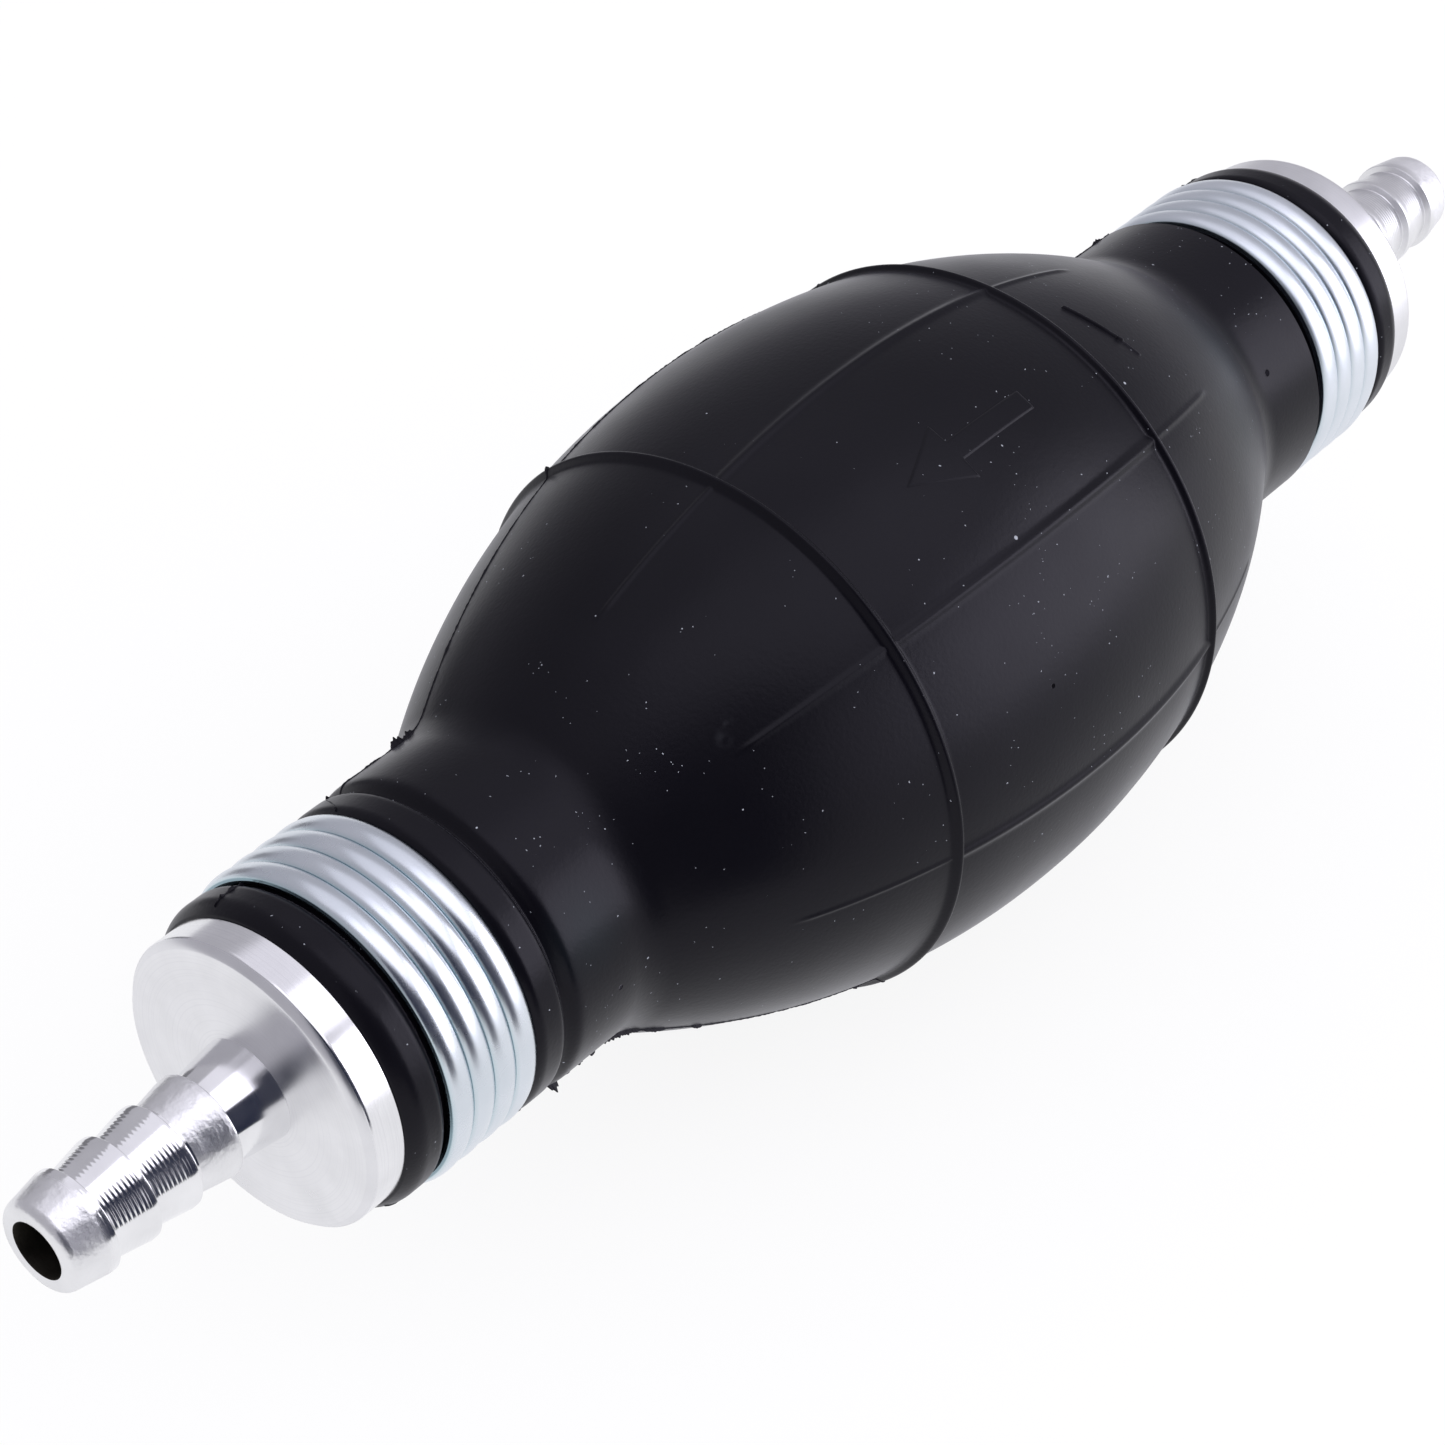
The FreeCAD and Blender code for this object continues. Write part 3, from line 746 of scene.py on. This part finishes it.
def axis_distance(tree):
    split = node(tree, "SeparateXYZ", {"Vector": place(tree)})
    y = maths(tree, "POWER", split.outputs["Y"], 2.0)
    z = maths(tree, "POWER", split.outputs["Z"], 2.0)
    return split.outputs["X"], maths(tree, "SQRT", maths(tree, "ADD", y, z))


def aluminium():
    # Turned metal: bright barb with two smeared cones, duller flange with rings round its face,
    # painted shade inside the bore, and the whole of the inlet's fitting duller than the outlet's
    made, tree, principled = blank("turned_aluminium")
    along, radius = axis_distance(tree)
    rings = node(tree, "TexNoise", {"W": maths(tree, "ADD", along, radius), "Scale": 6000,
                                    "Detail": 3.0}, noise_dimensions="1D").outputs["Fac"]
    inlet = maths(tree, "LESS_THAN", along, 0.0)
    along = maths(tree, "ABSOLUTE", along)
    rim = maths(tree, "GREATER_THAN", radius, (FLANGE_RADIUS - 0.05) * MM)
    flange = maths(tree, "LESS_THAN", along, (FLANGE_FACE + BELLY_CENTRE) * MM + 0.00003)
    bore = maths(tree, "LESS_THAN", radius, BORE_SHADE_ZONE * MM)
    smudge = cloud(tree, 260, 4)
    colour = shades(tree, ramp(tree, smudge, 0.35, 0.65, 0, 1), (0.82, 0.82, 0.83),
                    (0.90, 0.90, 0.91))
    turning = maths(tree, "MULTIPLY", ramp(tree, rings, 0.5, 0.75, 0.14, 0.3), flange)
    colour = overlay(tree, turning, colour, (0.62, 0.62, 0.66))
    # Painted shade: the bore's inside is coloured near black, and it is rougher
    tree.links.new(overlay(tree, bore, colour, (0.045, 0.041, 0.034)),
                   principled.inputs["Base Color"])
    principled.inputs["Metallic"].default_value = 1.0
    tip_cone = ramp(tree, along, TIP_CONE_START * MM, TIP_CONE_FULL * MM, 0, 1)
    last_cone = maths(tree, "COMPARE", along, LAST_CONE_MIDDLE * MM, LAST_CONE_HALF * MM)
    rubbed = maths(tree, "MAXIMUM", tip_cone, last_cone)
    smears = node(tree, "Bump", {"Height": maths(tree, "MULTIPLY", rubbed, cloud(tree, 900)),
                                 "Distance": 0.0001})
    rough = maths(tree, "MULTIPLY_ADD", flange, 0.17, ramp(tree, smudge, 0.3, 0.7, 0.10, 0.15))
    rough = maths(tree, "MULTIPLY_ADD", bore, 0.3, rough)
    rough = maths(tree, "MULTIPLY_ADD", rubbed, 0.21, rough)
    rough = maths(tree, "MULTIPLY_ADD", rim, -0.12, rough)
    rough = maths(tree, "MULTIPLY_ADD", inlet, 0.2, rough)
    tree.links.new(rough, principled.inputs["Roughness"])
    finish_bump(tree, principled, rings, 0.000003, 0.35, smears)
    return made


def zinc():
    # Pale blue plated sheet with painted shade, teal on the flanks and dark in the sharp valleys
    # between its crests, weaker on the inlet's; the inlet's duller
    made, tree, principled = blank("zinc_plated_sheet")
    tint = cloud(tree, 120, 4)
    colour = shades(tree, ramp(tree, tint, 0.35, 0.65, 0, 1), (0.70, 0.75, 0.80),
                    (0.78, 0.82, 0.87))
    along, radius = axis_distance(tree)
    inlet = maths(tree, "LESS_THAN", along, 0.0)
    # Painted shade towards the valleys: teal on the flanks and a dark line in them, 0.6 as strong on
    # the inlet
    line = ramp(tree, inlet, 0, 1, 1.0, 0.6)
    side = ramp(tree, radius, (FERRULE_VALLEY_RADIUS + 0.06) * MM,
                (FERRULE_VALLEY_RADIUS + 0.32) * MM, 0.7, 0)
    side = maths(tree, "MULTIPLY", side, line)
    colour = overlay(tree, side, colour, (0.50, 0.64, 0.68))
    painted_valley_shade = ramp(tree, radius, (FERRULE_VALLEY_RADIUS + 0.03) * MM,
                  (FERRULE_VALLEY_RADIUS + 0.12) * MM, 0.7, 0)
    painted_valley_shade = maths(tree, "MULTIPLY", painted_valley_shade, line)
    tree.links.new(overlay(tree, painted_valley_shade, colour, (0.14, 0.24, 0.29)),
                   principled.inputs["Base Color"])
    principled.inputs["Metallic"].default_value = 1.0
    rough = ramp(tree, cloud(tree, 300, 3), 0.3, 0.7, 0.24, 0.31)
    tree.links.new(maths(tree, "MULTIPLY_ADD", inlet, 0.08, rough), principled.inputs["Roughness"])
    finish_bump(tree, principled, cloud(tree, 700, 2), 0.000004, 0.3)
    return made


def plain_metal(name, dark, light, roughness):
    made, tree, principled = blank(name)
    tree.links.new(shades(tree, cloud(tree, 300, 4), dark, light), principled.inputs["Base Color"])
    principled.inputs["Metallic"].default_value = 1.0
    tree.links.new(ramp(tree, cloud(tree, 900), 0.3, 0.7, roughness, roughness + 0.12),
                   principled.inputs["Roughness"])
    finish_bump(tree, principled, cloud(tree, 2400), 0.00001, 0.5)
    return made


def plain_plastic(name, dark, light, roughness):
    made, tree, principled = blank(name)
    tree.links.new(shades(tree, cloud(tree, 220, 4), dark, light), principled.inputs["Base Color"])
    tree.links.new(ramp(tree, cloud(tree, 700), 0.3, 0.7, roughness, roughness + 0.15),
                   principled.inputs["Roughness"])
    finish_bump(tree, principled, cloud(tree, 2000), 0.00002, 0.4)
    return made


def dress(piece, material):
    piece.data.materials.clear()
    piece.data.materials.append(material)
    return piece


# The object

RUBBER = rubber()
ALUMINIUM = aluminium()
ZINC = zinc()
INNER = {
    "circlip": plain_metal("spring_steel", (0.34, 0.34, 0.35), (0.46, 0.46, 0.47), 0.3),
    "valve_spring": plain_metal("spring_wire", (0.50, 0.50, 0.51), (0.62, 0.62, 0.63), 0.24),
    "seat_ring": plain_metal("brass", (0.62, 0.43, 0.16), (0.74, 0.54, 0.22), 0.28),
    "poppet": plain_plastic("moulded_acetal", (0.66, 0.65, 0.60), (0.76, 0.75, 0.70), 0.35),
    "valve_guide": plain_plastic("moulded_acetal_guide", (0.62, 0.61, 0.57), (0.72, 0.71, 0.67),
                                 0.38),
    "seat_oring": plain_plastic("seal_rubber", (0.012, 0.012, 0.013), (0.022, 0.022, 0.024), 0.45),
    "poppet_seal": plain_plastic("seal_rubber_disc", (0.014, 0.013, 0.012), (0.026, 0.024, 0.022),
                                 0.5),
}

for name, wall, node_name, first, last, side, seam in (
        ("bulb_left_side", "left_wall", "bulb_wall_left", -90, 90, 1, 315),
        ("bulb_right_side", "right_wall", "bulb_wall_right", 90, 270, -1, 135)):
    skin = dress(bulb_half(name, first, last), RUBBER)
    fin = dress(flash(name + "_flash", seam), RUBBER)
    for piece in (skin, fin):
        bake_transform(piece)
    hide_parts("bulb", node_name)

for pad in (dress(arrow(), RUBBER), dress(mould_mark(), RUBBER)):
    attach(pad, "pump")

for end, name in ((OUTLET, "outlet"), (INLET, "inlet")):
    body = dress(turned(name + "_fitting_turned", placed(fitting_loop(), end)), ALUMINIUM)
    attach(body, "pump")
    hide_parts(name + "_fitting")
    sheet = dress(turned(name + "_ferrule_rolled", placed(ferrule_loop(), end), 220), ZINC)
    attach(sheet, "pump")
    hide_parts(name + "_ferrule")
    for piece, material in INNER.items():
        dress(frame["nodes"][name + "_" + piece], material)
    spring = name + "_valve_spring"
    coil = loose_copy(name + "_valve_coil", frame["nodes"][spring])
    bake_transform(coil)
    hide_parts(spring)


# Studio

LIGHT_COLOUR = (1.0, 0.985, 1.085, 1)
SHADE_COLOUR = (0.6, 0.72, 1.45, 1)
DARK_CARD_LIMIT = 0.5
FLOOR_HALF = 3000
FLOOR_GLOW = 0.94
WORLD_GLOW = 0.46


def card(name, middle, facing, width, height, strength, colour=LIGHT_COLOUR):
    # Panel that lights the object or, where it is weak, only darkens a side of its reflections
    half_w = 0.5 * width
    half_h = 0.5 * height
    panel = build(name, [(-half_w, -half_h, 0), (half_w, -half_h, 0), (half_w, half_h, 0),
                         (-half_w, half_h, 0)], [(0, 1, 2, 3)], False, 0)
    panel.location = Vector(middle) * MM
    panel.rotation_euler = (Vector(facing) - Vector(middle)).to_track_quat("Z", "Y").to_euler()
    made, tree, _ = blank(name)
    glow = node(tree, "Emission", {"Color": colour, "Strength": strength})
    tree.links.new(glow.outputs[0], tree.nodes["Material Output"].inputs["Surface"])
    panel.data.materials.append(made)
    panel.visible_camera = False
    if strength < DARK_CARD_LIMIT:
        panel.visible_diffuse = False
        panel.visible_shadow = False


def floor():
    # White to the camera but for the object's soft shadow, and a little less bright in reflections
    half = FLOOR_HALF
    lowest = CAD_BOX[0].z / MM
    ground = build("floor", [(-half, -half, lowest), (half, -half, lowest), (half, half, lowest),
                             (-half, half, lowest)], [(0, 1, 2, 3)], False, 0)
    made, tree, principled = blank("floor")
    principled.inputs["Base Color"].default_value = (0.95, 0.95, 0.95, 1)
    principled.inputs["Roughness"].default_value = 0.9
    white = node(tree, "Emission", {"Color": (1, 1, 1, 1), "Strength": 1.0})
    pale = node(tree, "Emission", {"Color": (0.99, 0.99, 1.02, 1), "Strength": FLOOR_GLOW})
    path = node(tree, "LightPath")
    direct = maths(tree, "MAXIMUM", path.outputs["Is Camera Ray"],
                   path.outputs["Is Transmission Ray"])
    seen = node(tree, "MixShader", {0: maths(tree, "MULTIPLY", direct, 0.88),
                                    1: principled.outputs[0], 2: white.outputs[0]})
    mix = node(tree, "MixShader", {0: path.outputs["Is Glossy Ray"], 1: seen.outputs[0],
                                   2: pale.outputs[0]})
    tree.links.new(mix.outputs[0], tree.nodes["Material Output"].inputs["Surface"])
    ground.data.materials.append(made)


def world():
    # Soft light all round, weaker in reflections, and white to the camera
    scene_world = bpy.data.worlds.new("studio")
    bpy.context.scene.world = scene_world
    scene_world.use_nodes = True
    tree = scene_world.node_tree
    light = tree.nodes["Background"]
    path = node(tree, "LightPath")
    light.inputs["Color"].default_value = LIGHT_COLOUR
    tree.links.new(maths(tree, "MULTIPLY_ADD", path.outputs["Is Glossy Ray"], WORLD_GLOW - 1.0, 1.0),
                   light.inputs["Strength"])
    white = node(tree, "Background", {"Color": (1, 1, 1, 1), "Strength": 1.0})
    mix = node(tree, "MixShader", {0: path.outputs["Is Camera Ray"], 1: light.outputs[0],
                                   2: white.outputs[0]})
    tree.links.new(mix.outputs[0], tree.nodes["World Output"].inputs["Surface"])


def camera():
    # Stands and looks as the photo's camera does
    data = bpy.data.cameras.new("camera")
    seen = bpy.data.objects.new("camera", data)
    bpy.context.scene.collection.objects.link(seen)
    seen.location = (0.19576, 0.15088, 0.1955)
    seen.rotation_euler = (math.radians(90 - 40.10), 0, math.radians(129.58))
    data.sensor_width = 36
    data.lens = 94.19
    data.shift_x = -0.01151
    data.shift_y = 0.01697
    data.clip_start = 0.01
    bpy.context.scene.camera = seen


floor()
world()
card("softbox", (-330, 420, 150), (0, 0, 0), 480, 420, 3.3)
card("upper_softbox", (-125, 217, 433), (20, 0, 0), 440, 260, 1.55)
card("side_softbox", (-20, 565, 150), (0, 0, 0), 245, 420, 1.05)
card("ceiling", (-150, -60, 620), (0, 0, 0), 800, 640, 0.85)
card("overhead", (40, 130, 600), (40, 130, 0), 320, 340, 1.5)
card("dark_card", (56, 100, 30), (56, 0, 20), 50, 115, 0.03, SHADE_COLOUR)
card("camera_side_card", (222, 292, 165), (0, 0, 0), 320, 425, 0.03, SHADE_COLOUR)
card("left_card", (15, -200, 5), (15, 0, 5), 60, 62, 0.2)
camera()
bpy.context.scene.view_settings.view_transform = "Standard"
